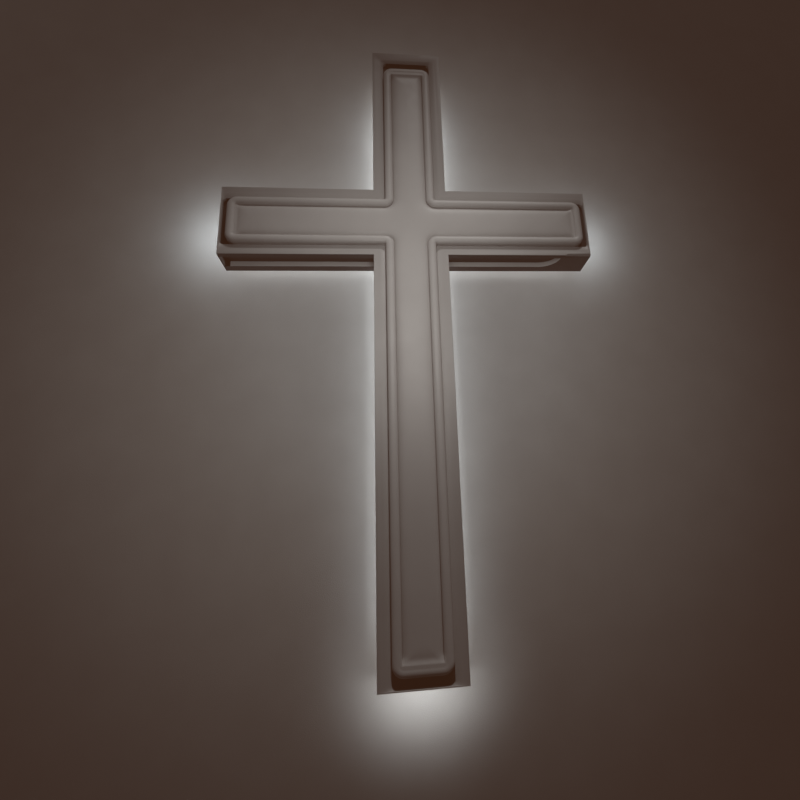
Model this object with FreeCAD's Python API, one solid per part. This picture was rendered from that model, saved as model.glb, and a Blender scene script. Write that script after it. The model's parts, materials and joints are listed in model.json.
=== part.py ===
import FreeCAD, Part
import math
import os

from FreeCAD import Vector

# Wall-hung, halo-lit Latin cross: a deep open-backed box with a moulded face.
# Millimetres. +X to the viewer's right, -Y out of the wall towards the viewer, +Z up.
# The origin is the middle of the wall cleat's two screw holes, in the plane of the wall,
# which is also the height of the cross bar's centre line.

# ---- overall sizes -------------------------------------------------------------------
HALF = 70.0            # half the width of every member: upright and bar are 140 wide
ARM = 350.0            # centre line to the end of each arm
TOP = 405.0            # bar centre line up to the top end
FOOT = -795.0          # bar centre line down to the foot
WALL_GAP = 24.0        # clear gap between the box and the wall
BOX_DEPTH = 70.0       # wall side of the box to the flat rim of the face

OVER = 1.0             # how far a cutter reaches past the faces that it opens
TOLERANCE = 1e-6

BACK = -WALL_GAP                   # plane of the box's open back
FACE = BACK - BOX_DEPTH            # plane of the face's flat rim

# ---- face ----------------------------------------------------------------------------
FACE_THICK = 12.0                  # face frame board
ARRIS = 0.8                        # eased front edge of the face frame
OPENING_HALF = 48.0                # half width of the opening in the face frame
END_RIM = 2.0                      # rim left at the ends of both arms
FOOT_RIM = 2.0                     # rim left at the foot
TOP_RIM = 22.0                     # rim left at the top end
COVE_WIDTH = 13.0                  # the rim falls away beside the bead
COVE_DEPTH = 4.5
CHAMFER_START = 300.0              # the right arm's lower front edge is taken off from here
CHAMFER = 3.5

BACKER_THICK = 6.0                 # board behind the opening that carries the moulding

BEAD_WIDTH = 16.0
BEAD_LINE = 39.5                   # half distance between the crests of the two beads
BEAD_CREST = 6.5                   # crest of the bead in front of the rim
BEAD_CORNER = 10.0                 # corner radius of the bead's centre line
BEAD_ARM = 330.0                   # crest of the end beads
BEAD_FOOT = -769.0
BEAD_TOP = 355.0

FIELD_GAP = 0.3                    # glue line between bead and field
FIELD_CREST = 6.0                  # field in front of the rim
FIELD_SHOULDER = 9.0               # radius of the pillowed edge
FIELD_CORNER = BEAD_CORNER + BEAD_WIDTH / 2 + FIELD_GAP

# ---- box -----------------------------------------------------------------------------
BOARD = 12.0                       # side boards
GROOVE_RISE = 10.0                 # reveal groove in the underside of both arms
RAIL_THICK = 20.0                  # back lip of that groove
GROOVE_END = 254.0                 # where the right groove starts to curve forwards
BLOCK = 18.0                       # glue blocks in the corners
BLOCK_SETBACK = 4.0                # from the open back to the corner blocks
RIB_HEIGHT = 20.0
RIB_THICK = 12.0
UPRIGHT_RIBS = (-645.0, -470.0, 230.0)      # heights of the ribs across the upright
ARM_RIB = 225.0                    # distance of the rib in each arm from the centre line

BOARD_FRONT = FACE + FACE_THICK            # front edge of the side boards
BACKER_BACK = BOARD_FRONT + BACKER_THICK   # face that carries the lamps
GROOVE_BACK = BACK - RAIL_THICK
INSIDE = HALF - BOARD                      # half width of the cavity

# ---- hanging hardware ----------------------------------------------------------------
CLEAT_THICK = 18.0
CLEAT_HALF = 150.0                 # half length of both cleats
CLEAT_FRONT_TOP = 28.0             # top of the wall cleat's bevel, on its front face
CLEAT_BOTTOM = -24.0
CLEAT_CLEARANCE = 0.5              # hanging cleat to wall
PACKER_SETBACK = 4.0               # the packer's lower edge above the cleat's
WALL_HOLE_SPACING = 200.0
WALL_HOLE_R = 2.75
WALL_SINK_R = 5.5
RAIL_HALF = 200.0                  # half length of the hanging rail
HANGING_RAIL_DEPTH = 18.0
HANGING_RAIL_BOTTOM = 13.0
CLEAT_SCREW_X = 110.0
CLEAT_SCREW_Z = 46.0
CLEAT_SCREW = 38.0                 # length from the head
CLEAT_SCREW_HEAD_R = 4.0
CLEAT_SCREW_R = 2.0
CLEAT_PILOT_R = 2.1
STANDOFF_R = 8.0
STANDOFF_RECESS = 5.0              # depth of the screw head below the bumper
STANDOFF_SCREW = 40.0
STANDOFF_SCREW_HEAD_R = 3.6
STANDOFF_SCREW_HEAD = 2.2
STANDOFF_SCREW_R = 1.7
STANDOFF_BORE_R = 1.8
STANDOFF_RECESS_R = 4.0
BUMPER_THICK = 3.0

# ---- lamps ---------------------------------------------------------------------------
CHANNEL_WIDTH = 17.0
CHANNEL_HEIGHT = 8.0
CHANNEL_WALL = 1.2
CHANNEL_START = 34.0               # inner end of every channel, from the crossing's centre
CAP_THICK = 1.5
TOP_CLEARANCE = 8.0                # from the top board to the upper channel
RUN_CLEARANCE = 6.0                # from the other end boards to their channels
TAPE_WIDTH = 10.0
TAPE_THICK = 0.4
TAPE_SETBACK = 1.0                 # from both ends of its channel
CHIP = 2.8
CHIP_HEIGHT = 0.7
CHIP_PITCH = 16.6
CHIP_START = 4.0                   # first chip from the channel's inner end
DIFFUSER_THICK = 1.0
JUNCTION_HALF = 20.0
JUNCTION_HEIGHT = 12.0
JUNCTION_EDGE = 1.5                # rounding of its upright edges
TERMINAL_AT = 9.0                  # the four terminal recesses from the block's axes
TERMINAL_R = 2.6
TERMINAL_DEPTH = 4.0
JUNCTION_SCREW_AT = 16.0
LEAD_R = 2.0
LEAD_GAP = 0.6                     # lead to the channel's floor

SMALL_SCREW_HEAD_R = 3.0
SMALL_SCREW_HEAD = 1.8
SMALL_SCREW_R = 1.6
SMALL_SCREW_BITE = 5.0             # length in the backer
SMALL_HOLE_R = 1.7

SLOT_HALF = 0.4                    # half width of the cross slots in screw heads


def box(x0, x1, y0, y1, z0, z1):
    """A block between two corners."""
    return Part.makeBox(x1 - x0, y1 - y0, z1 - z0, Vector(x0, y0, z0))


def cylinder(radius, start, direction, length):
    return Part.makeCylinder(radius, length, Vector(*start), Vector(*direction))


def cross_points(half, arm, foot, top):
    """Corners of a Latin cross in the XZ plane, anticlockwise from the foot's left corner."""
    return [
        (-half, foot), (half, foot),
        (half, -half), (arm, -half), (arm, half), (half, half),
        (half, top), (-half, top),
        (-half, half), (-arm, half), (-arm, -half), (-half, -half),
    ]


def is_outer(points, i):
    """True where the outline turns left, that is, at an outward corner."""
    ax, az = points[i - 1]
    bx, bz = points[i]
    cx, cz = points[(i + 1) % len(points)]
    return (bx - ax) * (cz - bz) - (bz - az) * (cx - bx) > 0


def outline(points, y, outer_r=0.0, inner_r=0.0):
    """Closed wire at depth y, with its outward and inward corners rounded by arcs."""
    at = [Vector(x, y, z) for x, z in points]
    ends = []
    edges = []
    for i, corner in enumerate(at):
        radius = outer_r if is_outer(points, i) else inner_r
        to_last = (at[i - 1] - corner).normalize()
        to_next = (at[(i + 1) % len(at)] - corner).normalize()
        start = corner + to_last * radius
        end = corner + to_next * radius
        ends.append((start, end))
        if radius > 0:
            centre = corner + (to_last + to_next) * radius
            middle = centre + (corner - centre).normalize() * radius
            edges.append((i, Part.Arc(start, middle, end).toShape()))
    arcs = dict(edges)
    loop = []
    for i in range(len(at)):
        if i in arcs:
            loop.append(arcs[i])
        loop.append(Part.LineSegment(ends[i][1], ends[(i + 1) % len(at)][0]).toShape())
    return Part.Wire(Part.__sortEdges__(loop))


def slab(wire, thickness):
    """Solid of that thickness behind a closed wire, towards the wall."""
    return Part.Face(wire).extrude(Vector(0, thickness, 0))


def prism(corners, along):
    """Solid swept from a polygon along a vector."""
    return Part.Face(Part.makePolygon(corners + corners[:1])).extrude(along)


def group(solids):
    """Separate solids that share one node."""
    return Part.makeCompound(solids)


def edges_at(shape, y):
    """Edges that lie in the plane at depth y."""
    return [e for e in shape.Edges if abs(e.BoundBox.YMin - y) < TOLERANCE and e.BoundBox.YLength < TOLERANCE]


def cross_slot(x, z, floor, mouth, reach):
    """Cutter for the cross slot in a screw head."""
    level = box(x - reach, x + reach, floor, mouth, z - SLOT_HALF, z + SLOT_HALF)
    upright = box(x - SLOT_HALF, x + SLOT_HALF, floor, mouth, z - reach, z + reach)
    return level.fuse(upright)


def pan_screw(x, z, seat, head_r, head_h, shank_r, length):
    """Round-headed screw driven towards the viewer, its head on the plane y = seat."""
    head = cylinder(head_r, (x, seat, z), (0, 1, 0), head_h)
    head = head.makeFillet(head_h * 0.45, edges_at(head, seat + head_h))
    slots = cross_slot(x, z, seat + head_h * 0.4, seat + head_h + OVER, head_r * 0.6)
    shank = cylinder(shank_r, (x, seat, z), (0, -1, 0), length)
    return head.cut(slots).fuse(shank).removeSplitter()


def sunk_screw(x, z, seat, head_r, shank_r, length):
    """Countersunk screw driven towards the viewer, its head flush with the plane y = seat."""
    cone_h = head_r - shank_r
    cone = Part.makeCone(head_r, shank_r, cone_h, Vector(x, seat, z), Vector(0, -1, 0))
    shank = cylinder(shank_r, (x, seat - cone_h, z), (0, -1, 0), length - cone_h)
    slots = cross_slot(x, z, seat - 0.9, seat + OVER, head_r * 0.55)
    return cone.fuse(shank).cut(slots).removeSplitter()


def pilot(x, z, seat, radius, length, sink_r=0.0):
    """Hole that a screw from the wall side goes into, with its countersink."""
    hole = cylinder(radius, (x, seat + OVER, z), (0, -1, 0), length + OVER)
    if sink_r > radius:
        sink = Part.makeCone(sink_r, radius, sink_r - radius, Vector(x, seat, z), Vector(0, -1, 0))
        hole = hole.fuse(sink)
    return hole


# ---- the moulded face ----------------------------------------------------------------
def face_frame():
    """Cross-shaped board with its middle cut out; the rim dips beside the bead."""
    points = cross_points(HALF, ARM, FOOT, TOP)
    board = slab(outline(points, FACE), FACE_THICK)
    board = board.makeFillet(ARRIS, edges_at(board, FACE))
    low = cross_points(OPENING_HALF, ARM - END_RIM, FOOT + FOOT_RIM, TOP - TOP_RIM)
    opening = slab(outline(low, FACE - OVER), FACE_THICK + 2 * OVER)
    wide = OPENING_HALF + COVE_WIDTH
    high = cross_points(wide, ARM - END_RIM, FOOT + FOOT_RIM, TOP - TOP_RIM + COVE_WIDTH)
    cove = Part.makeLoft([outline(high, FACE), outline(low, FACE + COVE_DEPTH)], True, True)
    board = board.cut(opening).cut(cove)
    profile = [
        Vector(CHAMFER_START, FACE - OVER, -HALF - OVER),
        Vector(CHAMFER_START, FACE - OVER, -HALF + CHAMFER),
        Vector(CHAMFER_START, FACE + CHAMFER + OVER, -HALF - OVER),
    ]
    wedge = prism(profile, Vector(ARM - CHAMFER_START + OVER, 0, 0))
    return board.cut(wedge)


def panel_backer():
    """Board behind the opening: the moulding is glued to its front, the lamps to its back."""
    points = cross_points(INSIDE, ARM - BOARD, FOOT + BOARD, TOP - BOARD)
    board = slab(outline(points, BOARD_FRONT), BACKER_THICK)
    lowered = INSIDE - GROOVE_RISE
    for side in (-1, 1):
        x0, x1 = sorted((side * HALF, side * (ARM - BOARD)))
        strip = box(x0, x1, BOARD_FRONT - OVER, BACKER_BACK + OVER, -INSIDE - OVER, -lowered)
        board = board.cut(strip)
    corner = box(-HALF, HALF, BOARD_FRONT - OVER, BACKER_BACK + OVER, -INSIDE - OVER, -lowered)
    middle = box(-INSIDE, INSIDE, BOARD_FRONT - 2 * OVER, BACKER_BACK + 2 * OVER, -HALF, -lowered)
    return board.cut(corner.cut(middle))


def bead_frame():
    """Half-round bead that runs right round the cross, standing on the backer."""
    radius = BEAD_WIDTH / 2
    spring = FACE - BEAD_CREST + radius
    path = outline(cross_points(BEAD_LINE, BEAD_ARM, BEAD_FOOT, BEAD_TOP), spring, BEAD_CORNER, BEAD_CORNER)
    start = path.Edges[0].valueAt(path.Edges[0].FirstParameter)
    along = path.Edges[0].tangentAt(path.Edges[0].FirstParameter)
    across = along.cross(Vector(0, 1, 0)).normalize() * radius
    back = Vector(0, BOARD_FRONT - spring, 0)
    section = Part.Wire([
        Part.LineSegment(start + back - across, start - across).toShape(),
        Part.Arc(start - across, start + Vector(0, -radius, 0), start + across).toShape(),
        Part.LineSegment(start + across, start + back + across).toShape(),
        Part.LineSegment(start + back + across, start + back - across).toShape(),
    ])
    return path.makePipeShell([section], True, False)


def field_panel():
    """Pillowed panel inside the bead."""
    inset = BEAD_WIDTH / 2 + FIELD_GAP
    points = cross_points(BEAD_LINE - inset, BEAD_ARM - inset, BEAD_FOOT + inset, BEAD_TOP - inset)
    crest = FACE - FIELD_CREST
    panel = slab(outline(points, crest, 0.0, FIELD_CORNER), BOARD_FRONT - crest)
    panel = panel.makeFillet(FIELD_SHOULDER, edges_at(panel, crest))
    eased = outline(points, crest - OVER, BEAD_CORNER - inset, FIELD_CORNER)
    return panel.common(slab(eased, BOARD_FRONT - crest + 2 * OVER))


# ---- the box -------------------------------------------------------------------------
def side_boards():
    """Side boards of the open-backed box, behind the face frame."""
    y0, y1 = BOARD_FRONT, BACK
    boards = {
        "top_return": box(-HALF, HALF, y0, y1, TOP - BOARD, TOP),
        "foot_return": box(-HALF, HALF, y0, y1, FOOT, FOOT + BOARD),
    }
    soffit_top = -HALF + GROOVE_RISE + BOARD
    for name, side in (("left", -1), ("right", 1)):
        outer = sorted((side * HALF, side * INSIDE))
        boards[f"upper_{name}_return"] = box(*outer, y0, y1, INSIDE, TOP - BOARD)
        boards[f"lower_{name}_return"] = box(*outer, y0, y1, FOOT + BOARD, soffit_top)
        along = sorted((side * HALF, side * ARM))
        boards[f"{name}_arm_top"] = box(*along, y0, y1, INSIDE, HALF)
        end = sorted((side * (ARM - BOARD), side * ARM))
        end_board = box(*end, y0, y1, -HALF, INSIDE)
        run = sorted((side * HALF, side * (ARM - BOARD)))
        boards[f"{name}_soffit"] = box(*run, y0, GROOVE_BACK, -HALF + GROOVE_RISE, soffit_top)
        boards[f"{name}_soffit_rail"] = box(*run, GROOVE_BACK, y1, -HALF, soffit_top)
        if side < 0:
            notch_x = (-ARM + END_RIM, -ARM + BOARD + OVER)
            notch_z = (-HALF - OVER, -HALF + GROOVE_RISE)
            end_board = end_board.cut(box(*notch_x, y0 - OVER, GROOVE_BACK, *notch_z))
        boards[f"{name}_arm_end"] = end_board
    return boards


def soffit_end_block():
    """Fills the right groove's outer end; its nose is a quarter of a circle in plan."""
    block = box(GROOVE_END, ARM - BOARD, BOARD_FRONT, GROOVE_BACK, -HALF, -HALF + GROOVE_RISE)
    corner = (GROOVE_END, BOARD_FRONT, -HALF - OVER)
    sweep = cylinder(GROOVE_BACK - BOARD_FRONT, corner, (0, 0, 1), GROOVE_RISE + 2 * OVER)
    return block.cut(sweep)


def corner_blocks():
    """Square glue blocks in the corners of the top end, the foot and both arm ends."""
    blocks = []
    y0, y1 = BACKER_BACK, BACK - BLOCK_SETBACK
    floor = -HALF + GROOVE_RISE + BOARD
    for side in (-1, 1):
        x0, x1 = sorted((side * INSIDE, side * (INSIDE - BLOCK)))
        blocks.append(box(x0, x1, y0, y1, TOP - BOARD - BLOCK, TOP - BOARD))
        x0, x1 = sorted((side * (ARM - BOARD), side * (ARM - BOARD - BLOCK)))
        blocks.append(box(x0, x1, y0, y1, INSIDE - BLOCK, INSIDE))
        blocks.append(box(x0, x1, y0, y1, floor, floor + BLOCK))
    return blocks


def foot_blocks():
    """The two foot blocks reach the open back and take the stand-off screws."""
    blocks = []
    for x in standoff_places():
        block = box(x - BLOCK / 2, x + BLOCK / 2, BACKER_BACK, BACK, FOOT + BOARD, FOOT + BOARD + BLOCK)
        depth = STANDOFF_SCREW + BUMPER_THICK + STANDOFF_RECESS - WALL_GAP
        blocks.append(block.cut(pilot(x, standoff_height(), BACK, STANDOFF_BORE_R, depth + OVER)))
    return blocks


def standoff_places():
    return [side * (INSIDE - BLOCK / 2) for side in (-1, 1)]


def standoff_height():
    return FOOT + BOARD + BLOCK / 2


def stiffening_ribs():
    """Low ribs across the cavity, notched over the lamp channel."""
    notch = CHANNEL_WIDTH / 2 + OVER
    y0, y1 = BACKER_BACK, BACKER_BACK + RIB_HEIGHT
    notch_y = (y0 - OVER, y0 + CHANNEL_HEIGHT + OVER)
    ribs = []
    for z in UPRIGHT_RIBS:
        rib = box(-INSIDE, INSIDE, y0, y1, z - RIB_THICK / 2, z + RIB_THICK / 2)
        ribs.append(rib.cut(box(-notch, notch, *notch_y, z - RIB_THICK, z + RIB_THICK)))
    floor = -HALF + GROOVE_RISE + BOARD
    for x in (-ARM_RIB, ARM_RIB):
        rib = box(x - RIB_THICK / 2, x + RIB_THICK / 2, y0, y1, floor, INSIDE)
        ribs.append(rib.cut(box(x - RIB_THICK, x + RIB_THICK, *notch_y, -notch, notch)))
    return ribs


# ---- hanging hardware ----------------------------------------------------------------
def cleat_screw_places():
    return [(x, CLEAT_SCREW_Z) for x in (-CLEAT_SCREW_X, 0.0, CLEAT_SCREW_X)]


def hanging_rail():
    """Rail bridging the crossing under the arm tops, level with the open back."""
    rail = box(-RAIL_HALF, RAIL_HALF, BACK - HANGING_RAIL_DEPTH, BACK, HANGING_RAIL_BOTTOM, INSIDE)
    bite = CLEAT_SCREW + CLEAT_CLEARANCE - WALL_GAP
    for x, z in cleat_screw_places():
        rail = rail.cut(pilot(x, z, BACK, CLEAT_PILOT_R, bite + OVER / 2))
    return rail


def cleat_packer():
    """Spacer between the rail and the hanging cleat."""
    bottom = CLEAT_FRONT_TOP + PACKER_SETBACK
    packer = box(-CLEAT_HALF, CLEAT_HALF, BACK, -CLEAT_THICK, bottom, INSIDE)
    for x, z in cleat_screw_places():
        packer = packer.cut(pilot(x, z, -CLEAT_THICK, CLEAT_PILOT_R, CLEAT_THICK))
    return packer


def cross_cleat():
    """Upper half of the split batten: its lower edge is cut at 45 degrees."""
    wall_side = -CLEAT_CLEARANCE
    profile = [
        Vector(-CLEAT_HALF, -CLEAT_THICK, CLEAT_FRONT_TOP),
        Vector(-CLEAT_HALF, wall_side, CLEAT_FRONT_TOP - CLEAT_THICK - wall_side),
        Vector(-CLEAT_HALF, wall_side, INSIDE),
        Vector(-CLEAT_HALF, -CLEAT_THICK, INSIDE),
    ]
    cleat = prism(profile, Vector(2 * CLEAT_HALF, 0, 0))
    for x, z in cleat_screw_places():
        cleat = cleat.cut(pilot(x, z, wall_side, CLEAT_PILOT_R, CLEAT_THICK, CLEAT_SCREW_HEAD_R + 0.1))
    return cleat


def cleat_screws():
    """Countersunk screws through cleat and packer into the rail."""
    size = (CLEAT_SCREW_HEAD_R, CLEAT_SCREW_R, CLEAT_SCREW)
    return [sunk_screw(x, z, -CLEAT_CLEARANCE, *size) for x, z in cleat_screw_places()]


def wall_cleat():
    """Lower half of the split batten, screwed to the wall through two holes on the X axis."""
    x0 = -CLEAT_HALF
    profile = [
        Vector(x0, -CLEAT_THICK, CLEAT_BOTTOM),
        Vector(x0, 0, CLEAT_BOTTOM),
        Vector(x0, 0, CLEAT_FRONT_TOP - CLEAT_THICK),
        Vector(x0, -CLEAT_THICK, CLEAT_FRONT_TOP),
    ]
    cleat = prism(profile, Vector(2 * CLEAT_HALF, 0, 0))
    for side in (-1, 1):
        x = side * WALL_HOLE_SPACING / 2
        hole = cylinder(WALL_HOLE_R, (x, -CLEAT_THICK - OVER, 0), (0, 1, 0), CLEAT_THICK + 2 * OVER)
        sink = Part.makeCone(WALL_SINK_R, WALL_HOLE_R, WALL_SINK_R - WALL_HOLE_R,
                             Vector(x, -CLEAT_THICK, 0), Vector(0, 1, 0))
        cleat = cleat.cut(hole).cut(sink)
    return cleat


def foot_standoffs():
    """Turned spacers that keep the foot at the same distance from the wall as the cleats."""
    pieces = []
    for x in standoff_places():
        post = cylinder(STANDOFF_R, (x, BACK, standoff_height()), (0, 1, 0), WALL_GAP - BUMPER_THICK)
        bore = cylinder(STANDOFF_BORE_R, (x, BACK - OVER, standoff_height()), (0, 1, 0), WALL_GAP)
        seat = -BUMPER_THICK - STANDOFF_RECESS
        recess = cylinder(STANDOFF_RECESS_R, (x, seat, standoff_height()), (0, 1, 0), STANDOFF_RECESS + OVER)
        pieces.append(post.cut(bore).cut(recess))
    return pieces


def standoff_screws():
    """Pan-headed screws seated in the recess of each stand-off."""
    seat = -BUMPER_THICK - STANDOFF_RECESS
    head = (STANDOFF_SCREW_HEAD_R, STANDOFF_SCREW_HEAD)
    return [pan_screw(x, standoff_height(), seat, *head, STANDOFF_SCREW_R, STANDOFF_SCREW)
            for x in standoff_places()]


def foot_bumpers():
    """Rubber discs on the ends of the stand-offs."""
    return [cylinder(STANDOFF_R, (x, -BUMPER_THICK, standoff_height()), (0, 1, 0), BUMPER_THICK)
            for x in standoff_places()]


# ---- lamps ---------------------------------------------------------------------------
# Each run is drawn upwards along +Z from the crossing's centre and turned into place.
RUNS = {
    "upper": (0.0, TOP - BOARD - TOP_CLEARANCE),
    "right": (90.0, ARM - BOARD - RUN_CLEARANCE),
    "lower": (180.0, -FOOT - BOARD - RUN_CLEARANCE),
    "left": (270.0, ARM - BOARD - RUN_CLEARANCE),
}


def turned(shape, angle):
    """Turned about the Y axis, so that 0 points up and 90 to the viewer's right."""
    copy = shape.copy()
    copy.rotate(Vector(0, 0, 0), Vector(0, 1, 0), angle)
    return copy


def led_channel(end):
    """Aluminium trough, open towards the wall."""
    half = CHANNEL_WIDTH / 2
    y0 = BACKER_BACK
    trough = box(-half, half, y0, y0 + CHANNEL_HEIGHT, CHANNEL_START, end)
    inside = half - CHANNEL_WALL
    along = (CHANNEL_START - OVER, end + OVER)
    hollow = box(-inside, inside, y0 + CHANNEL_WALL, y0 + CHANNEL_HEIGHT + OVER, *along)
    return trough.cut(hollow)


def led_tape(end):
    """Tape on the floor of the trough, with its row of light-emitting chips."""
    y0 = BACKER_BACK + CHANNEL_WALL
    along = (CHANNEL_START + TAPE_SETBACK, end - TAPE_SETBACK)
    tape = box(-TAPE_WIDTH / 2, TAPE_WIDTH / 2, y0, y0 + TAPE_THICK, *along)
    count = int((end - CHANNEL_START - 2 * CHIP_START) / CHIP_PITCH)
    chips = []
    for i in range(count + 1):
        z = CHANNEL_START + CHIP_START + i * CHIP_PITCH
        chips.append(box(-CHIP / 2, CHIP / 2, y0 + TAPE_THICK, y0 + TAPE_THICK + CHIP_HEIGHT, z, z + CHIP))
    return tape.multiFuse(chips)


def led_diffuser(end):
    """Opal strip clipped into the mouth of the trough."""
    inside = CHANNEL_WIDTH / 2 - CHANNEL_WALL
    y1 = BACKER_BACK + CHANNEL_HEIGHT
    return box(-inside, inside, y1 - DIFFUSER_THICK, y1, CHANNEL_START, end)


def channel_caps(end):
    """Plastic caps on the two ends of a trough; the inner one has the lead's hole."""
    half = CHANNEL_WIDTH / 2
    y0, y1 = BACKER_BACK, BACKER_BACK + CHANNEL_HEIGHT
    inner = box(-half, half, y0, y1, CHANNEL_START - CAP_THICK, CHANNEL_START)
    inside_end = CHANNEL_START - CAP_THICK - OVER
    hole = cylinder(LEAD_R, (0, lead_depth(), inside_end), (0, 0, 1), CAP_THICK + 2 * OVER)
    outer = box(-half, half, y0, y1, end, end + CAP_THICK)
    return [inner.cut(hole), outer]


def lead_depth():
    """Depth of the axis of every lead, just behind the backer."""
    return BACKER_BACK + CHANNEL_WALL + LEAD_R + LEAD_GAP


def junction_block():
    """Connector block at the centre of the crossing, where all the leads meet."""
    y0, y1 = BACKER_BACK, BACKER_BACK + JUNCTION_HEIGHT
    block = box(-JUNCTION_HALF, JUNCTION_HALF, y0, y1, -JUNCTION_HALF, JUNCTION_HALF)
    block = block.makeFillet(JUNCTION_EDGE, [e for e in block.Edges if e.BoundBox.YLength > TOLERANCE])
    for x in (-TERMINAL_AT, TERMINAL_AT):
        for z in (-TERMINAL_AT, TERMINAL_AT):
            recess = cylinder(TERMINAL_R, (x, y1 - TERMINAL_DEPTH, z), (0, 1, 0), TERMINAL_DEPTH + OVER)
            block = block.cut(recess)
    for x, z in junction_screw_places():
        block = block.cut(cylinder(SMALL_HOLE_R, (x, y0 - OVER, z), (0, 1, 0), JUNCTION_HEIGHT + 2 * OVER))
    return block


def junction_screw_places():
    return [(-JUNCTION_SCREW_AT, JUNCTION_SCREW_AT), (JUNCTION_SCREW_AT, -JUNCTION_SCREW_AT)]


def led_leads():
    """Four short leads from the junction block into the channels' inner caps."""
    length = CHANNEL_START - JUNCTION_HALF
    lead = cylinder(LEAD_R, (0, lead_depth(), JUNCTION_HALF), (0, 0, 1), length)
    return [turned(lead, angle) for angle, end in RUNS.values()]


# ---- driver and supply entry -----------------------------------------------------------
DRIVER_X = (24.0, 52.0)
DRIVER_Z = (-360.0, -200.0)
DRIVER_HEIGHT = 16.0
DRIVER_TAB = 8.0
DRIVER_TAB_THICK = 2.5
DRIVER_TAB_INSET = 8.0             # from the case's sides to its tabs
DRIVER_TAB_ROOT = 3.0              # how far a tab reaches into the case
DRIVER_EDGE = 2.0                  # rounding of the case
DRIVER_LEAD_RISE = 6.0             # axis of the driver's lead above the backer
CLIP_HEIGHTS = (-175.0, -140.0)
CLIP_HALF = 4.0
CLIP_WALL = 1.5
GLAND_X = 38.0
GLAND_Z = -410.0
GLAND_R = 3.6                      # bore for the supply flex
GLAND_THREAD_R = 6.0
GLAND_NUT = 4.0                    # thickness of the locknut
GLAND_HEX = 5.0
GLAND_DOME = 9.0
GLAND_DOME_R = 7.0
GLAND_DOME_EDGE = 2.5
GLAND_FLATS = 15.0
THREAD_CLEARANCE = 0.1
THREAD_TAIL = 0.5                  # thread that stands out of the locknut
BRIDGE_HEIGHT = 22.0               # bridge bracket: backer to the underside of its plate
BRIDGE_HALF = 12.0
BRACKET_THICK = 2.0
BRACKET_FOOT = 14.0
LEAD_TURNS = [(48.0, DRIVER_Z[1]), (48.0, -110.0), (13.0, -75.0), (13.0, -JUNCTION_HALF)]


def driver_screw_places():
    x = sum(DRIVER_X) / 2
    return [(x, DRIVER_Z[0] - DRIVER_TAB / 2), (x, DRIVER_Z[1] + DRIVER_TAB / 2)]


def led_driver():
    """Slim plastic supply with a fixing tab at each end."""
    y0, y1 = BACKER_BACK, BACKER_BACK + DRIVER_HEIGHT
    case = box(*DRIVER_X, y0, y1, *DRIVER_Z)
    off_the_backer = [e for e in case.Edges if e.BoundBox.YMax > y0 + TOLERANCE]
    case = case.makeFillet(DRIVER_EDGE, off_the_backer)
    low, high = DRIVER_Z
    tab_x = (DRIVER_X[0] + DRIVER_TAB_INSET, DRIVER_X[1] - DRIVER_TAB_INSET)
    for tab_z in ((low - DRIVER_TAB, low + DRIVER_TAB_ROOT), (high - DRIVER_TAB_ROOT, high + DRIVER_TAB)):
        case = case.fuse(box(*tab_x, y0, y0 + DRIVER_TAB_THICK, *tab_z))
    for x, z in driver_screw_places():
        case = case.cut(cylinder(SMALL_HOLE_R, (x, y0 - OVER, z), (0, 1, 0), DRIVER_TAB_THICK + 2 * OVER))
    return case.removeSplitter()


def bent_tube(points, y, radius):
    """Tube at constant depth through points, its straight runs joined by tangent arcs."""
    at = [Vector(x, y, z) for x, z in points]
    edges = []
    last = at[0]
    for i in range(1, len(at) - 1):
        before = at[i - 1] - at[i]
        after = at[i + 1] - at[i]
        turn = math.pi - before.getAngle(after)
        cut = 0.45 * min(before.Length, after.Length)
        start = at[i] + before.normalize() * cut
        end = at[i] + after.normalize() * cut
        bend = cut / math.tan(turn / 2)
        inward = (before + after).normalize()
        middle = at[i] + inward * (math.hypot(cut, bend) - bend)
        edges.append(Part.LineSegment(last, start).toShape())
        edges.append(Part.Arc(start, middle, end).toShape())
        last = end
    edges.append(Part.LineSegment(last, at[-1]).toShape())
    path = Part.Wire(edges)
    along = (at[1] - at[0]).normalize()
    section = Part.Wire(Part.makeCircle(radius, at[0], along))
    return path.makePipeShell([section], True, False)


def driver_lead():
    """Lead from the driver up to the junction block."""
    return bent_tube(LEAD_TURNS, driver_lead_depth(), LEAD_R)


def driver_lead_depth():
    return BACKER_BACK + DRIVER_LEAD_RISE


def lead_clips():
    """Saddles that hold the driver's lead against the backer."""
    clips = []
    x = LEAD_TURNS[0][0]
    height = driver_lead_depth() + LEAD_R + CLIP_WALL
    for z in CLIP_HEIGHTS:
        body = box(x - CLIP_HALF, x + CLIP_HALF, BACKER_BACK, height, z - CLIP_HALF, z + CLIP_HALF)
        below = (x, driver_lead_depth(), z - CLIP_HALF - OVER)
        clips.append(body.cut(cylinder(LEAD_R, below, (0, 0, 1), 2 * (CLIP_HALF + OVER))))
    return clips


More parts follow.
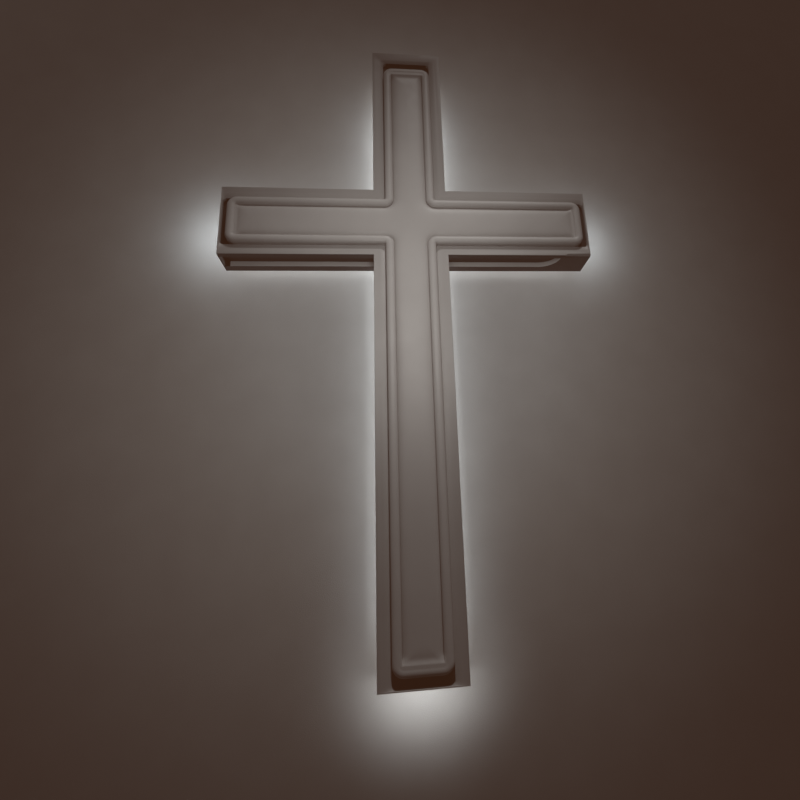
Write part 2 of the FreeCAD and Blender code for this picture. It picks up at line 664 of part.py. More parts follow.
def gland_bracket():
    """Bridge of bent plate that stands on the backer and holds the supply gland facing the wall."""
    x0, x1 = GLAND_X - BRIDGE_HALF, GLAND_X + BRIDGE_HALF
    low, high = GLAND_Z - BRIDGE_HALF, GLAND_Z + BRIDGE_HALF
    floor = BACKER_BACK
    bracket = box(x0, x1, plate_height(), plate_height() + BRACKET_THICK, low, high)
    upper_leg = high - BRACKET_THICK
    for leg, foot in ((low, low - BRACKET_FOOT + BRACKET_THICK), (upper_leg, upper_leg)):
        bracket = bracket.fuse(box(x0, x1, floor, plate_height(), leg, leg + BRACKET_THICK))
        bracket = bracket.fuse(box(x0, x1, floor, floor + BRACKET_THICK, foot, foot + BRACKET_FOOT))
    through = BRACKET_THICK + 2 * OVER
    entry = (GLAND_X, plate_height() - OVER, GLAND_Z)
    bracket = bracket.cut(cylinder(GLAND_THREAD_R, entry, (0, 1, 0), through))
    for x, z in bracket_screw_places():
        bracket = bracket.cut(cylinder(SMALL_HOLE_R, (x, floor - OVER, z), (0, 1, 0), through))
    return bracket.removeSplitter()


def plate_height():
    """Depth of the bridge plate's inner face."""
    return BACKER_BACK + BRIDGE_HEIGHT


def bracket_screw_places():
    reach = BRIDGE_HALF + BRACKET_FOOT / 2 - BRACKET_THICK / 2
    return [(GLAND_X, GLAND_Z - reach), (GLAND_X, GLAND_Z + reach)]


def hexagon(across_flats, y0, y1):
    """Hexagonal prism about the gland's axis."""
    reach = across_flats / math.sqrt(3)
    corners = []
    for k in range(6):
        turn = k * math.pi / 3
        corners.append(Vector(GLAND_X + reach * math.cos(turn), y0, GLAND_Z + reach * math.sin(turn)))
    return prism(corners, Vector(0, y1 - y0, 0))


def supply_gland():
    """Nylon gland: hexagon and domed nut on the wall side of the bridge, thread through its plate."""
    seat = plate_height() + BRACKET_THICK
    mouth = seat + GLAND_HEX + GLAND_DOME
    body = hexagon(GLAND_FLATS, seat, seat + GLAND_HEX)
    dome = cylinder(GLAND_DOME_R, (GLAND_X, seat + GLAND_HEX, GLAND_Z), (0, 1, 0), GLAND_DOME)
    dome = dome.makeFillet(GLAND_DOME_EDGE, edges_at(dome, mouth))
    inner_end = seat - BRACKET_THICK - GLAND_NUT - THREAD_TAIL
    thread_r = GLAND_THREAD_R - THREAD_CLEARANCE
    thread = cylinder(thread_r, (GLAND_X, inner_end, GLAND_Z), (0, 1, 0), seat - inner_end)
    gland = body.fuse(dome).fuse(thread)
    bore = cylinder(GLAND_R, (GLAND_X, inner_end - OVER, GLAND_Z), (0, 1, 0), mouth - inner_end + 2 * OVER)
    return gland.cut(bore).removeSplitter()


def gland_nut():
    """Locknut inside the bridge."""
    inner_end = plate_height() - GLAND_NUT
    nut = hexagon(GLAND_FLATS, inner_end, plate_height())
    hole = cylinder(GLAND_THREAD_R, (GLAND_X, inner_end - OVER, GLAND_Z), (0, 1, 0), GLAND_NUT + 2 * OVER)
    return nut.cut(hole)


def small_screws(places, seat):
    """Pan-headed screws into the backer."""
    length = seat - BACKER_BACK + SMALL_SCREW_BITE
    head = (SMALL_SCREW_HEAD_R, SMALL_SCREW_HEAD)
    return [pan_screw(x, z, seat, *head, SMALL_SCREW_R, length) for x, z in places]


def bored(board, places):
    """Backer with the pilot holes of the small screws."""
    for x, z in places:
        board = board.cut(pilot(x, z, BACKER_BACK, SMALL_HOLE_R, SMALL_SCREW_BITE + 0.2))
    return board


def build():
    """All the pieces, by node name."""
    parts = {
        "face_frame": face_frame(),
        "bead_frame": bead_frame(),
        "field_panel": field_panel(),
    }
    small = driver_screw_places() + junction_screw_places() + bracket_screw_places()
    parts["panel_backer"] = bored(panel_backer(), small)
    parts.update(side_boards())
    parts["right_soffit_end_block"] = soffit_end_block()
    parts["corner_blocks"] = group(corner_blocks())
    parts["foot_blocks"] = group(foot_blocks())
    parts["stiffening_ribs"] = group(stiffening_ribs())
    parts["hanging_rail"] = hanging_rail()
    parts["cleat_packer"] = cleat_packer()
    parts["cross_cleat"] = cross_cleat()
    parts["cleat_screws"] = group(cleat_screws())
    parts["wall_cleat"] = wall_cleat()
    parts["foot_standoffs"] = group(foot_standoffs())
    parts["standoff_screws"] = group(standoff_screws())
    parts["foot_bumpers"] = group(foot_bumpers())
    caps = []
    for name, (angle, end) in RUNS.items():
        parts[f"{name}_led_channel"] = turned(led_channel(end), angle)
        parts[f"{name}_led_tape"] = turned(led_tape(end), angle)
        parts[f"{name}_diffuser"] = turned(led_diffuser(end), angle)
        caps += [turned(cap, angle) for cap in channel_caps(end)]
    parts["channel_end_caps"] = group(caps)
    parts["junction_block"] = junction_block()
    parts["junction_screws"] = group(small_screws(junction_screw_places(), BACKER_BACK + JUNCTION_HEIGHT))
    parts["led_leads"] = group(led_leads())
    parts["led_driver"] = led_driver()
    parts["driver_screws"] = group(small_screws(driver_screw_places(), BACKER_BACK + DRIVER_TAB_THICK))
    parts["driver_lead"] = driver_lead()
    parts["lead_clips"] = group(lead_clips())
    parts["gland_bracket"] = gland_bracket()
    parts["bracket_screws"] = group(small_screws(bracket_screw_places(), BACKER_BACK + BRACKET_THICK))
    parts["supply_gland"] = supply_gland()
    parts["gland_nut"] = gland_nut()
    return parts


os.makedirs("parts", exist_ok=True)
for node, shape in build().items():
    shape.exportStep(f"parts/{node}.step")
    print(f"{node}: {len(shape.Solids)} solid(s), {shape.Volume / 1000:.1f} cm3, valid {shape.isValid()}")
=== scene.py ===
import json
import math

import bmesh
import bpy
from mathutils import Matrix, Vector


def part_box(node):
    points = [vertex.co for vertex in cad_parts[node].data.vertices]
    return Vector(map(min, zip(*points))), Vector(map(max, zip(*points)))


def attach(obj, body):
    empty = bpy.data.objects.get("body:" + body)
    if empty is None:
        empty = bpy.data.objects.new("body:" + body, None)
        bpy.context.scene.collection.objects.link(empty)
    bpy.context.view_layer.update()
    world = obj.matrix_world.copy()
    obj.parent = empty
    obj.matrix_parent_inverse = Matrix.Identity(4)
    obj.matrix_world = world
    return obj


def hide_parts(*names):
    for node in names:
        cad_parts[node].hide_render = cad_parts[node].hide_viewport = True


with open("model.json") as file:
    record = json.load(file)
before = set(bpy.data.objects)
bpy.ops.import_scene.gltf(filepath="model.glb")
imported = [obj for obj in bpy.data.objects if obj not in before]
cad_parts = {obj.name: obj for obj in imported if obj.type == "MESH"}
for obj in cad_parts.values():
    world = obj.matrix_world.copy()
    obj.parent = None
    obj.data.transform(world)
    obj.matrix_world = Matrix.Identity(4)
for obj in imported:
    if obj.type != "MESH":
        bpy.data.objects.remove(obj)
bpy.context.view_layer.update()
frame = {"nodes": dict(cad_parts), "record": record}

NODES = frame["nodes"]
SLOTS = {row["node"]: row["material_slot"] for row in frame["record"]["subparts"]}
MM = 0.001

# ---- where things are, from the frame ---------------------------------------------------
FACE_LOW, FACE_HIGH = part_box("face_frame")
BEAD_LOW, BEAD_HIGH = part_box("bead_frame")
BACKER_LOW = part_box("panel_backer")[0]
RIM = FACE_LOW.y                       # plane of the flat rim
SEAT = BACKER_LOW.y                    # the backer's front, which the face is glued to
ARM, TOP, FOOT = FACE_HIGH.x, FACE_HIGH.z, FACE_LOW.z
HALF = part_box("top_return")[1].x       # half the width of upright and bar

# ---- face profile -------------------------------------------------------------------------
ARRIS = 0.9 * MM                       # round on the rim's outer edge
ARRIS_STEPS = 4
RIM_FALL = 2.2 * MM                    # the rim leans in by this much before the cove starts
OPENING_HALF = 48 * MM                 # half the width of the opening that the bead stands in
OPENING_ARM = ARM - 2 * MM
OPENING_FOOT = FOOT + 2 * MM
OPENING_TOP = TOP - 22 * MM
COVE_WIDTH = 13 * MM
TOP_COVE_WIDTH = 9 * MM
COVE_DEPTH = 3.4 * MM
COVE_STEPS = 9
OPENING_CORNER = 7 * MM

BEAD_HALF_WIDTH = 8 * MM
BEAD_LINE = 39.5 * MM                  # half distance between the crests
BEAD_ARM = BEAD_HIGH.x - BEAD_HALF_WIDTH
BEAD_TOP = BEAD_HIGH.z - BEAD_HALF_WIDTH
BEAD_FOOT = BEAD_LOW.z + BEAD_HALF_WIDTH
BEAD_CORNER = 10 * MM
BEAD_STEPS = 20
BEAD_SPRING = 1.0 * MM                 # the bead's round starts this far in front of the rim
BEAD_DOME = 5.5 * MM                   # and rises by this much
GROOVE = 2.4 * MM                      # bottom of the groove inside the bead, behind the rim
SHOULDER = 3.6 * MM                    # how fast the field rises out of the groove
SHOULDER_RISE = 5.6 * MM
CROWN = 1.8 * MM                       # further rise to the middle of the member
END_LEVEL = 6.0 * MM                   # the field sweeps up to this at the top and the foot
ARM_END_LEVEL = 2.6 * MM               # and to this at the ends of the arms
END_SWEEP = 11 * MM
END_FLAT = 1 * MM
FIELD_SLOT = 0.05 * MM                 # half the width left open along the field's middle line
CHAMFER_START = 300 * MM               # the right arm's lower front edge is taken off from here
CHAMFER = 3.5 * MM

RUN_STEP = 6 * MM                      # spacing of points along straight runs
CORNER_STEPS = 8                       # spans in a rounded corner
SHARP_EDGE = math.radians(35)          # smooth shading breaks at edges sharper than this
WELD = 0.01 * MM                       # points closer than this are one
SLIVER = 0.005 * MM

# Rings of the field, in mm from the bead's inner edge, closest together where the relief is steep.
FIELD_RINGS = [0, 0.6, 1.3, 2.1, 3.0, 4.1, 5.4, 7.0, 9.0, 11.5, 14.5, 18.0, 22.0, 26.5]


# ---- mesh helpers ---------------------------------------------------------------------------
def cross_points(half, arm, foot, top):
    """Corners of a Latin cross in the XZ plane, anticlockwise from the foot's left corner."""
    return [
        (-half, foot), (half, foot),
        (half, -half), (arm, -half), (arm, half), (half, half),
        (half, top), (-half, top),
        (-half, half), (-arm, half), (-arm, -half), (-half, -half),
    ]


def ring(points, outer_r, inner_r, runs):
    """Outline with rounded corners. Every ring with the same runs has the same number of points."""
    made = []
    count = len(points)
    corners = []
    for i in range(count):
        last, here, after = Vector(points[i - 1]), Vector(points[i]), Vector(points[(i + 1) % count])
        back, ahead = (last - here).normalized(), (after - here).normalized()
        outward = back.cross(ahead) < 0
        radius = outer_r if outward else inner_r
        centre = here + (back + ahead) * radius
        arc = []
        for k in range(CORNER_STEPS + 1):
            turn = math.pi / 2 * k / CORNER_STEPS
            arc.append(centre - ahead * radius * math.cos(turn) - back * radius * math.sin(turn))
        corners.append(arc)
    for i in range(count):
        arc, following = corners[i], corners[(i + 1) % count]
        made += arc
        for k in range(1, runs[i]):
            made.append(arc[-1].lerp(following[0], k / runs[i]))
    return made


def run_counts(points):
    """How many spans each straight run is divided into."""
    following = points[1:] + points[:1]
    lengths = [(Vector(b) - Vector(a)).length for a, b in zip(points, following)]
    return [max(1, round(length / RUN_STEP)) for length in lengths]


def loft(rings, closed):
    """Vertices and quads between rings of 3-D points; closed also joins the last ring to the first."""
    size = len(rings[0])
    verts = [p for r in rings for p in r]
    faces = []
    for band in range(len(rings) if closed else len(rings) - 1):
        a, b = band * size, (band + 1) % len(rings) * size
        for i in range(size):
            j = (i + 1) % size
            faces.append((a + i, a + j, b + j, b + i))
    return verts, faces


def mesh_object(name, verts, faces):
    """Object with welded vertices, outward normals and smooth shading that breaks at sharp edges."""
    mesh = bpy.data.meshes.new(name)
    bm = bmesh.new()
    made = [bm.verts.new(v) for v in verts]
    for face in faces:
        bm.faces.new([made[i] for i in face])
    bmesh.ops.remove_doubles(bm, verts=bm.verts, dist=WELD)
    bmesh.ops.dissolve_degenerate(bm, edges=bm.edges, dist=SLIVER)
    bmesh.ops.recalc_face_normals(bm, faces=bm.faces)
    for face in bm.faces:
        face.smooth = True
    for edge in bm.edges:
        edge.smooth = len(edge.link_faces) == 2 and edge.calc_face_angle(0) < SHARP_EDGE
    bm.to_mesh(mesh)
    bm.free()
    obj = bpy.data.objects.new(name, mesh)
    bpy.context.scene.collection.objects.link(obj)
    return obj


def at_depth(points, y):
    return [Vector((p.x, y, p.y)) for p in points]


# ---- the moulded face -----------------------------------------------------------------------
BEAD_RUNS = run_counts(cross_points(BEAD_LINE, BEAD_ARM, BEAD_FOOT, BEAD_TOP))


def bead_ring(offset):
    """Outline at that offset outside the bead's centre line, its corners kept concentric."""
    points = cross_points(BEAD_LINE + offset, BEAD_ARM + offset, BEAD_FOOT - offset, BEAD_TOP + offset)
    return ring(points, max(BEAD_CORNER + offset, 0), max(BEAD_CORNER - offset, 0), BEAD_RUNS)


def smooth_step(t):
    t = min(max(t, 0.0), 1.0)
    return t * t * (3 - 2 * t)


def relief(point, offset):
    """Height in front of the rim at a point of the bead or the field."""
    if offset > -BEAD_HALF_WIDTH:
        height = BEAD_SPRING + BEAD_DOME * math.sqrt(max(1 - (offset / BEAD_HALF_WIDTH) ** 2, 0))
    else:
        inside = -offset - BEAD_HALF_WIDTH
        reach = BEAD_LINE - BEAD_HALF_WIDTH
        height = -GROOVE + SHOULDER_RISE * (1 - math.exp(-inside / SHOULDER))
        height += CROWN * (1 - (1 - inside / reach) ** 2)
    if offset < 0:
        along_upright = min(BEAD_TOP - point.y, point.y - BEAD_FOOT)
        along_arm = BEAD_ARM - abs(point.x)
        for to_crest, level in ((along_upright, END_LEVEL), (along_arm, ARM_END_LEVEL)):
            to_bead = to_crest - BEAD_HALF_WIDTH
            weight = smooth_step((END_SWEEP - to_bead) / (END_SWEEP - END_FLAT))
            height += weight * max(level - height, 0)
    return height


def relief_ring(offset):
    return [Vector((p.x, RIM - relief(p, offset), p.y)) for p in bead_ring(offset)]


def make_bead():
    """Domed bead with straight flanks, standing on the backer."""
    offsets = [BEAD_HALF_WIDTH * math.cos(math.pi * k / BEAD_STEPS) for k in range(BEAD_STEPS + 1)]
    rings = [relief_ring(offset) for offset in offsets]
    inner = bead_ring(-BEAD_HALF_WIDTH)
    rings.append(at_depth(inner, RIM + GROOVE))
    rings.append(at_depth(inner, SEAT))
    rings.append(at_depth(bead_ring(BEAD_HALF_WIDTH), SEAT))
    verts, faces = loft(rings, True)
    obj = mesh_object("bead", verts, faces)
    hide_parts("bead_frame")
    return obj


def make_field():
    """Pillowed field inside the bead, swept up at its four ends."""
    offsets = [-BEAD_HALF_WIDTH - d * MM for d in FIELD_RINGS] + [-BEAD_LINE + FIELD_SLOT]
    rings = [at_depth(bead_ring(offsets[0]), SEAT)]
    rings += [relief_ring(offset) for offset in offsets]
    verts, faces = loft(rings, False)
    obj = mesh_object("field", verts, faces)
    close_holes(obj)
    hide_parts("field_panel")
    return obj


def close_holes(obj):
    """Fills what is left open, which is the slot along the middle and the flat back."""
    bm = bmesh.new()
    bm.from_mesh(obj.data)
    open_edges = [e for e in bm.edges if len(e.link_faces) == 1]
    bmesh.ops.holes_fill(bm, edges=open_edges, sides=0)
    bmesh.ops.recalc_face_normals(bm, faces=bm.faces)
    bm.to_mesh(obj.data)
    bm.free()


def face_points(half, arm, foot, top, lift=0.0):
    """The face's outline, with the right arm's lower edge lifted from the chamfer's start."""
    points = cross_points(half, arm, foot, top)
    lower_edge = [(CHAMFER_START, -half), (CHAMFER_START + CHAMFER, -half + lift), (arm, -half + lift)]
    return points[:3] + lower_edge + points[4:]


def make_face_frame():
    """Rim with a rounded outer edge and a cove that falls away towards the bead."""
    rings = []

    def add(y, points, corner=0.0):
        rings.append(at_depth(ring(points, corner, 0.0, [1] * len(points)), y))

    add(SEAT, face_points(HALF, ARM, FOOT, TOP))
    add(RIM + CHAMFER, face_points(HALF, ARM, FOOT, TOP))
    for k in range(ARRIS_STEPS + 1):
        turn = math.pi / 2 * k / ARRIS_STEPS
        inset = ARRIS * (1 - math.cos(turn))
        depth = ARRIS * (1 - math.sin(turn))
        add(RIM + depth, face_points(HALF - inset, ARM - inset, FOOT + inset, TOP - inset, CHAMFER - depth))
    for k in range(COVE_STEPS + 1):
        done = k / COVE_STEPS
        left = 1 - done
        half = OPENING_HALF + COVE_WIDTH * left
        top = OPENING_TOP + TOP_COVE_WIDTH * left
        depth = RIM_FALL + COVE_DEPTH * done ** 2
        add(RIM + depth, face_points(half, OPENING_ARM, OPENING_FOOT, top), OPENING_CORNER)
    add(SEAT, face_points(OPENING_HALF, OPENING_ARM, OPENING_FOOT, OPENING_TOP), OPENING_CORNER)
    verts, faces = loft(rings, True)
    obj = mesh_object("face_frame_board", verts, faces)
    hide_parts("face_frame")
    return obj


# ---- materials ------------------------------------------------------------------------------
GREIGE = (0.50, 0.49, 0.48)
# Near-black painted shade for undersides and wells, which stand in shade; it is no real primer.
PAINTED_SHADE = (0.010, 0.006, 0.004)
SHADE_EDGE = 0.05                     # width of the change from paint to the painted shade, as a slope


def new_material(name):
    material = bpy.data.materials.new(name)
    material.use_nodes = True
    nodes = material.node_tree.nodes
    return material, nodes, material.node_tree.links, nodes["Principled BSDF"]


def noise(nodes, links, scale, detail=3.0, stretch=(1, 1, 1)):
    """Noise in the object's own space; stretch multiplies its frequency along each axis."""
    place = nodes.new("ShaderNodeTexCoord")
    mapping = nodes.new("ShaderNodeMapping")
    mapping.inputs["Scale"].default_value = stretch
    texture = nodes.new("ShaderNodeTexNoise")
    texture.inputs["Scale"].default_value = scale
    texture.inputs["Detail"].default_value = detail
    links.new(place.outputs["Object"], mapping.inputs["Vector"])
    links.new(mapping.outputs["Vector"], texture.inputs["Vector"])
    return texture


def ramp(nodes, links, source, stops):
    node = nodes.new("ShaderNodeValToRGB")
    elements = node.color_ramp.elements
    while len(elements) < len(stops):
        elements.new(0.5)
    for element, (position, colour) in zip(elements, stops):
        element.position = position
        element.color = (*colour, 1)
    links.new(source, node.inputs["Fac"])
    return node.outputs["Color"]


def bump(nodes, links, shader, source, distance):
    node = nodes.new("ShaderNodeBump")
    node.inputs["Distance"].default_value = distance
    node.inputs["Strength"].default_value = 1.0
    links.new(source, node.inputs["Height"])
    links.new(node.outputs["Normal"], shader.inputs["Normal"])


def shade(colour, factor):
    return tuple(c * factor for c in colour)


def mottled(nodes, links, texture, colour, darker, lighter):
    """The colour, wandering between a darker and a lighter shade of itself."""
    stops = [(0.3, shade(colour, darker)), (0.7, shade(colour, lighter))]
    return ramp(nodes, links, texture.outputs["Fac"], stops)


def span(nodes, links, source, low, high):
    node = nodes.new("ShaderNodeMapRange")
    node.inputs["To Min"].default_value = low
    node.inputs["To Max"].default_value = high
    links.new(source, node.inputs["Value"])
    return node.outputs["Result"]


def painted_shade_below(nodes, links, paint, shade_colour, shade_from, front_too):
    """Near-black painted shade instead of paint on undersides, and on faces that look forwards too if
    front_too is set.
    """
    surface = nodes.new("ShaderNodeNewGeometry")
    parts = nodes.new("ShaderNodeSeparateXYZ")
    links.new(surface.outputs["True Normal"], parts.inputs["Vector"])
    facing = nodes.new("ShaderNodeMapRange")
    facing.inputs["From Min"].default_value = -shade_from
    facing.inputs["From Max"].default_value = -shade_from - SHADE_EDGE
    lowest = parts.outputs["Z"]
    if front_too:
        least = nodes.new("ShaderNodeMath")
        least.operation = "MINIMUM"
        links.new(parts.outputs["Y"], least.inputs[0])
        links.new(parts.outputs["Z"], least.inputs[1])
        lowest = least.outputs["Value"]
    links.new(lowest, facing.inputs["Value"])
    mix = nodes.new("ShaderNodeMixRGB")
    links.new(facing.outputs["Result"], mix.inputs["Fac"])
    links.new(paint, mix.inputs["Color1"])
    links.new(shade_colour, mix.inputs["Color2"])
    return mix.outputs["Color"]


def painted(name, colour, rough=(0.42, 0.56), stipple=0.06, shade_with=None, shade_from=0.9, front_too=False):
    """Satin paint laid on with a roller, with its stipple in mm. Some faces may get near-black painted shade
    instead.
    """
    material, nodes, links, shader = new_material(name)
    patches = noise(nodes, links, 14.0, 4.0)
    surface_colour = mottled(nodes, links, patches, colour, 0.96, 1.03)
    # Faces turned down, or forwards too, get painted shade in place of paint.
    if shade_with:
        shade_colour = mottled(nodes, links, patches, shade_with, 0.85, 1.15)
        surface_colour = painted_shade_below(nodes, links, surface_colour, shade_colour, shade_from, front_too)
    links.new(surface_colour, shader.inputs["Base Color"])
    sheen_patches = noise(nodes, links, 60.0, 2.0)
    links.new(span(nodes, links, sheen_patches.outputs["Fac"], *rough), shader.inputs["Roughness"])
    grain = noise(nodes, links, 700.0, 2.0)
    bump(nodes, links, shader, grain.outputs["Fac"], stipple * MM)
    return material


def timber(name, light, dark, along):
    """Planed softwood: growth rings drawn out along one axis."""
    material, nodes, links, shader = new_material(name)
    stretch = [9.0, 9.0, 9.0]
    stretch["XYZ".index(along)] = 0.6
    growth = noise(nodes, links, 14.0, 6.0, stretch)
    bands = [(0.25, light), (0.45, dark), (0.55, light), (0.72, shade(dark, 1.1))]
    links.new(ramp(nodes, links, growth.outputs["Fac"], bands), shader.inputs["Base Color"])
    shader.inputs["Roughness"].default_value = 0.62
    fibres = noise(nodes, links, 180.0, 3.0, stretch)
    bump(nodes, links, shader, fibres.outputs["Fac"], 0.12 * MM)
    return material


def plain(name, colour, rough, metallic=0.0, grain=0.02, emission=None, strength=0.0):
    """Moulded, plated or anodised surface with a fine grain, its depth in mm."""
    material, nodes, links, shader = new_material(name)
    speckle = noise(nodes, links, 150.0, 3.0)
    links.new(mottled(nodes, links, speckle, colour, 0.93, 1.05), shader.inputs["Base Color"])
    roughness = span(nodes, links, speckle.outputs["Fac"], rough * 0.85, rough * 1.15)
    links.new(roughness, shader.inputs["Roughness"])
    shader.inputs["Metallic"].default_value = metallic
    fine = noise(nodes, links, 900.0, 2.0)
    bump(nodes, links, shader, fine.outputs["Fac"], grain * MM)
    if emission:
        shader.inputs["Emission Color"].default_value = (*emission, 1)
        shader.inputs["Emission Strength"].default_value = strength
    return material


def make_materials():
    return {
        "face_paint": painted("face_paint", GREIGE),
        # Rim, box and groove paints are the face paint made darker: painted shade. Their undersides get
        # near-black painted shade, and the box its forward faces too.
        "rim_paint": painted("rim_paint", shade(GREIGE, 0.79), shade_with=PAINTED_SHADE, shade_from=0.95),
        "box_paint": painted("box_paint", shade(GREIGE, 0.8), shade_with=PAINTED_SHADE, front_too=True),
        "groove_paint": painted("groove_paint", shade(GREIGE, 0.8), shade_with=PAINTED_SHADE),
        # Dark brown board, made much darker than its own brown so the wells it floors look shaded: partly
        # its colour, partly painted shade.
        "backer_board": painted("backer_board", (0.030, 0.018, 0.012), (0.6, 0.75), 0.1),
        "pine": timber("pine", (0.62, 0.42, 0.21), (0.42, 0.24, 0.10), "Z"),
        "plywood": timber("plywood", (0.58, 0.40, 0.22), (0.46, 0.29, 0.14), "X"),
        "zinc_steel": plain("zinc_steel", (0.62, 0.63, 0.64), 0.32, 1.0),
        "bumper_rubber": plain("bumper_rubber", (0.03, 0.03, 0.03), 0.8, grain=0.06),
        "anodised": plain("anodised", (0.72, 0.73, 0.74), 0.35, 1.0),
        "led_tape": plain("led_tape", (0.85, 0.84, 0.78), 0.5),
        "opal": plain("opal", (0.9, 0.89, 0.85), 0.4, emission=(1.0, 0.95, 0.9), strength=1.5),
        "cap_plastic": plain("cap_plastic", (0.35, 0.36, 0.37), 0.5),
        "junction_plastic": plain("junction_plastic", (0.03, 0.03, 0.035), 0.45),
        "lead_sheath": plain("lead_sheath", (0.02, 0.02, 0.02), 0.5),
        "driver_case": plain("driver_case", (0.78, 0.78, 0.76), 0.4, grain=0.05),
        "gland_nylon": plain("gland_nylon", (0.02, 0.02, 0.02), 0.4),
    }


def wear(obj, material):
    obj.data.materials.clear()
    obj.data.materials.append(material)


# ---- camera, room and light -----------------------------------------------------------------
FLOOR = FOOT - 1.65                    # the foot hangs at about eye level
WALL_REACH = 4.0
WALL_TOP = 1.6

WHITE = (1.0, 1.0, 1.0)
NEUTRAL = (1.0, 0.99, 0.965)
COOL = (0.89, 0.945, 0.97)
PALE = (0.86, 0.93, 0.96)
WARM = (1.0, 0.93, 0.85)
CREAM = (1.0, 0.965, 0.925)
DUSK = (0.014, 0.012, 0.011, 1.0)
VEIL = (0.029, 0.0113, 0.0056)         # what a dark, warm room adds to every black

STRIP = 20 * MM                        # width of a run of lamps
LAMP_FOOT = FOOT + 75 * MM             # the runs stop short of the ends
LAMP_TOP = TOP - 90 * MM
LAMP_ARM = ARM - 50 * MM
POOL_PLACE = (0.0, -1.2, -0.10)
POOL_AIM = (0.0, 0.0, -0.15)
CROSS_MIDDLE = (0.0, 0.0, -0.2)
SPOT_RADIUS = 0.1


def make_camera():
    """Seen from below and a little to the left, close to the wall."""
    data = bpy.data.cameras.new("camera")
    data.sensor_width = 36.0
    data.lens = 26.35
    data.shift_x = -0.0875
    data.shift_y = -0.0625
    cam = bpy.data.objects.new("camera", data)
    bpy.context.scene.collection.objects.link(cam)
    bpy.context.scene.camera = cam
    pitch, yaw, roll = -0.31641, -0.14118, -0.06063
    turn = Matrix.Rotation(roll, 3, "Z") @ Matrix.Rotation(pitch, 3, "X") @ Matrix.Rotation(yaw, 3, "Y")
    right, down, ahead = (Vector((row[0], row[2], -row[1])) for row in turn)
    cam.matrix_world = Matrix((right, -down, -ahead)).transposed().to_4x4()
    cam.location = (-0.04106, -1.08545, -0.58854)


def plane(name, corners):
    return mesh_object(name, corners, [(0, 1, 2, 3)])


def make_room():
    """Wall behind the cross, seen only from the front, and a pale floor."""
    x = WALL_REACH
    wall = plane("wall", [(-x, 0, FLOOR), (x, 0, FLOOR), (x, 0, WALL_TOP), (-x, 0, WALL_TOP)])
    floor = plane("floor", [(-x, -x, FLOOR), (x, -x, FLOOR), (x, x, FLOOR), (-x, x, FLOOR)])
    material = painted("wall_paint", (0.60, 0.60, 0.60), (0.8, 0.9), 0.3)
    nodes, links = material.node_tree.nodes, material.node_tree.links
    side = nodes.new("ShaderNodeNewGeometry")
    clear = nodes.new("ShaderNodeBsdfTransparent")
    mix = nodes.new("ShaderNodeMixShader")
    links.new(side.outputs["Backfacing"], mix.inputs["Fac"])
    links.new(nodes["Principled BSDF"].outputs["BSDF"], mix.inputs[1])
    links.new(clear.outputs["BSDF"], mix.inputs[2])
    links.new(mix.outputs["Shader"], nodes["Material Output"].inputs["Surface"])
    wear(wall, material)
    wear(floor, painted("floor_paint", (0.62, 0.60, 0.58), (0.6, 0.8), 0.1))
    wall.visible_shadow = False
    return wall, floor


def lamp(name, kind, place, power, towards, receivers, shadow=True, colour=WHITE):
    """Light that only the given collection receives. The wall's own lights throw no shadow."""
    data = bpy.data.lights.new(name, kind)
    data.energy = power
    data.color = colour
    data.use_shadow = shadow
    obj = bpy.data.objects.new(name, data)
    obj.location = place
    obj.rotation_euler = (Vector(towards) - Vector(place)).to_track_quat("-Z", "Y").to_euler()
    obj.visible_camera = False
    obj.light_linking.receiver_collection = receivers
    bpy.context.scene.collection.objects.link(obj)
    return obj


def spot(name, place, towards, power, cone, receivers, shadow=True, colour=WHITE):
    obj = lamp(name, "SPOT", place, power, towards, receivers, shadow, colour)
    obj.data.shadow_soft_size = SPOT_RADIUS
    obj.data.spot_size = math.radians(cone)
    obj.data.spot_blend = 1.0


def panel(name, place, towards, power, width, height, receivers, shadow=True, colour=WHITE):
    obj = lamp(name, "AREA", place, power, towards, receivers, shadow, colour)
    obj.data.shape = "RECTANGLE"
    obj.data.size = width
    obj.data.size_y = height
    return obj


def halo(name, x, z, width, height, gap, power, spread, receivers, colour=COOL):
    """Strip of light behind the cross that faces the wall."""
    obj = panel(name, (x, -gap, z), (x, 0, z), power, width, height, receivers, False, colour)
    obj.rotation_euler = (math.radians(90), 0, 0)
    obj.data.spread = math.radians(spread)


def make_wall_lights(wall_only):
    """Halo of the four lamp runs, brighter glows at three ends, and the soft pool round the cross."""
    halo("halo_upper", 0, LAMP_TOP / 2, STRIP, LAMP_TOP, 0.045, 0.32, 178, wall_only)
    halo("halo_lower", 0, LAMP_FOOT / 2, STRIP, -LAMP_FOOT, 0.065, 0.358, 150, wall_only)
    halo("halo_left", -LAMP_ARM / 2, 0, LAMP_ARM, STRIP, 0.050, 0.072, 165, wall_only)
    halo("halo_right", LAMP_ARM / 2, 0, LAMP_ARM, STRIP, 0.060, 0.048, 165, wall_only)
    halo("glow_foot", 0, FOOT - 5 * MM, 0.12, 0.08, 0.085, 0.069, 130, wall_only, NEUTRAL)
    halo("glow_left", -ARM - 15 * MM, 0.012, 0.06, 0.07, 0.085, 0.053, 150, wall_only)
    halo("glow_right", ARM + 10 * MM, 0.006, 0.06, 0.07, 0.080, 0.045, 150, wall_only)
    spot("pool_inner", POOL_PLACE, POOL_AIM, 5.2, 44, wall_only, False, PALE)
    spot("pool_outer", POOL_PLACE, POOL_AIM, 8.8, 80, wall_only, False, WARM)
    panel("wash", (-1.2, -2.0, 1.4), CROSS_MIDDLE, 1.8, 0.5, 0.5, wall_only, False, WARM)


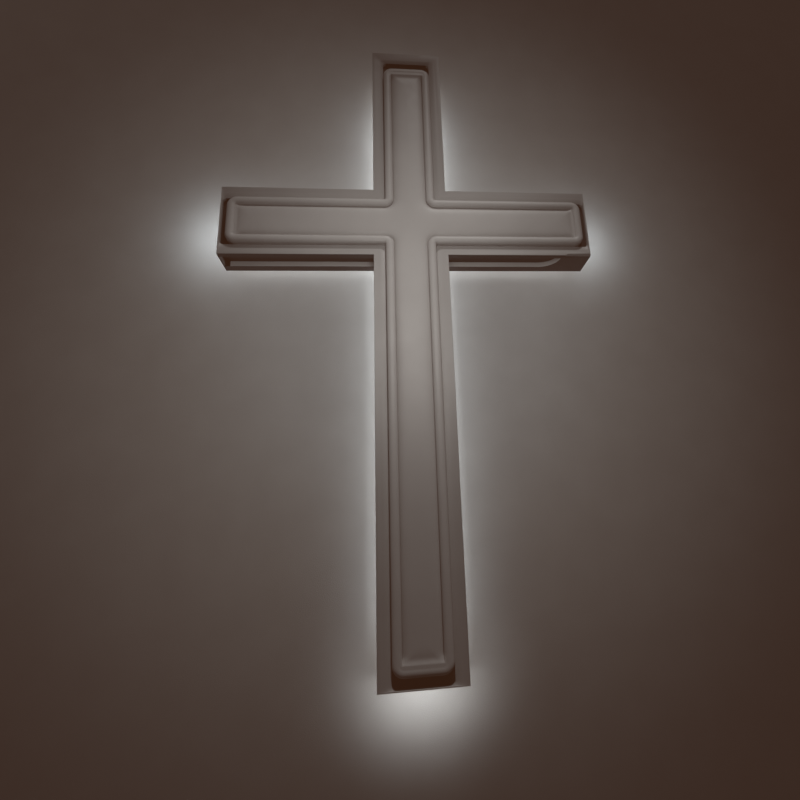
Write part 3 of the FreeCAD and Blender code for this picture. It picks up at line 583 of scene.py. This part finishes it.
def make_cross_lights(cross_only, groove_only):
    """Pool of light on the moulding, bounced light in the grooves, dim light on the sides and the back."""
    spot("key", (0.30, -1.25, 1.78), (-0.08, RIM, -1.13), 71.0, 42, cross_only, colour=CREAM)
    spot("fill", (0.0, -0.50, -0.15), (0.0, RIM, -0.15), 2.5, 120, cross_only, colour=CREAM)
    spot("groove_bounce", (0.0, -0.90, -0.60), (0.0, RIM, -HALF), 5.4, 90, groove_only, colour=CREAM)
    panel("back_left", (-1.5, 1.3, 0.9), CROSS_MIDDLE, 12.0, 1.2, 1.2, cross_only)
    panel("back_right", (1.6, 1.2, 0.2), CROSS_MIDDLE, 8.0, 1.2, 1.2, cross_only)


def receiver_group(name, objects):
    collection = bpy.data.collections.new(name)
    for obj in objects:
        collection.objects.link(obj)
    return collection


def make_world():
    """Very dim warm surroundings, and the warm veil that a dark room leaves in the blacks."""
    scene = bpy.context.scene
    scene.world = bpy.data.worlds.new("world")
    scene.world.use_nodes = True
    scene.world.node_tree.nodes["Background"].inputs["Color"].default_value = DUSK
    view = scene.view_settings
    view.view_transform = "Standard"
    view.use_curve_mapping = True
    view.curve_mapping.black_level = tuple(-v for v in VEIL)
    view.curve_mapping.update()


# ---- the scene ------------------------------------------------------------------------------
make_camera()
materials = make_materials()
face_frame, bead, field = make_face_frame(), make_bead(), make_field()
for piece in (face_frame, bead, field):
    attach(piece, "cross")
    wear(piece, materials["face_paint"])
# The rim wears the darker rim paint, which is painted shade.
wear(face_frame, materials["rim_paint"])
for node, obj in NODES.items():
    wear(obj, materials[SLOTS[node]])
# The soffit rails and end block take the darker groove paint: painted shade.
groove_pieces = [NODES[node] for node in ("left_soffit_rail", "right_soffit_rail", "right_soffit_end_block")]
for obj in groove_pieces:
    wear(obj, materials["groove_paint"])
wall, floor = make_room()
wall_receivers = receiver_group("wall_receivers", [wall, floor])
cross_receivers = receiver_group("cross_receivers", [face_frame, bead, field, *NODES.values()])
groove_receivers = receiver_group("groove_receivers", groove_pieces)
make_wall_lights(wall_receivers)
make_cross_lights(cross_receivers, groove_receivers)
make_world()
